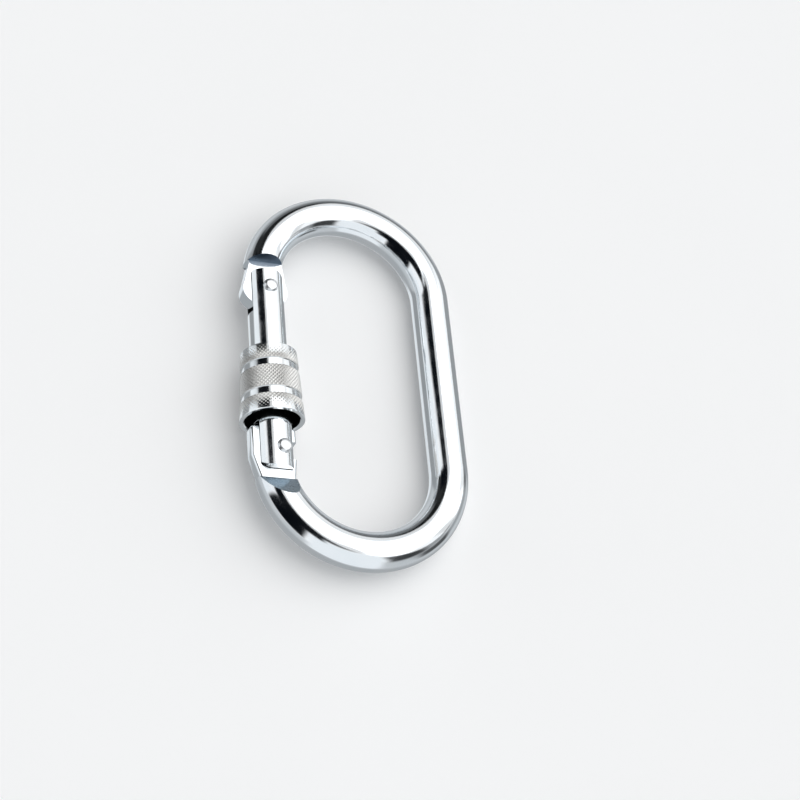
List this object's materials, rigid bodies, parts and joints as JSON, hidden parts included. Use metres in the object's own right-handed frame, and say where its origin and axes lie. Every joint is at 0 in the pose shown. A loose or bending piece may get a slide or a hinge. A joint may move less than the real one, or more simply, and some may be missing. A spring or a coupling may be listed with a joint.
{
  "type": "oval screw-lock carabiner",
  "caption": "Oval steel carabiner: a bent round bar with a sprung swinging gate and a knurled sleeve that slides over the nose to lock it.",
  "frame": {"origin": "centre of the bounding box at rest, with the gate closed and the sleeve backed off", "axes": "+X from the gate across to the spine, +Y along the oval towards the gate's hinge, +Z normal to the oval"},
  "size_m": [0.06, 0.1078, 0.0166],
  "materials": {
    "bar_steel": "bright plated steel, polished",
    "gate_steel": "bright plated steel, turned and polished",
    "sleeve_steel": "plated steel, knurled bands with bright grooves between",
    "pin_steel": "plated steel with peened domes",
    "spring_steel": "drawn spring wire and turned plunger"
  },
  "bodies": {
    "frame": {"frame_bar": "bar_steel"},
    "gate": {"gate": "gate_steel", "hinge_rivet": "pin_steel", "latch_pin": "pin_steel", "gate_spring": "spring_steel"},
    "sleeve": {"locking_sleeve": "sleeve_steel"},
    "plunger": {"spring_plunger": "spring_steel"}
  },
  "joints": [
    {"name": "gate_hinge", "type": "hinge", "parent": "frame", "child": "gate", "pos_m": [-0.02167, 0.0214, 0], "axis": [0, 0, 1], "range_deg": [0, 30], "stiffness_Nm_per_rad": 0.15, "springref_deg": -22.92},
    {"name": "sleeve_travel", "type": "slide", "parent": "gate", "child": "sleeve", "axis": [0, -1, 0], "range_m": [0, 0.0125]},
    {"name": "plunger_slide", "type": "slide", "parent": "gate", "child": "plunger", "axis": [0, -1, 0], "range_m": [0, 0.00125], "deforming": ["gate_spring"]}
  ],
  "couplings": [
    {"joint": "plunger_slide", "follows": "gate_hinge", "m_per_rad": 0.0022918}
  ]
}
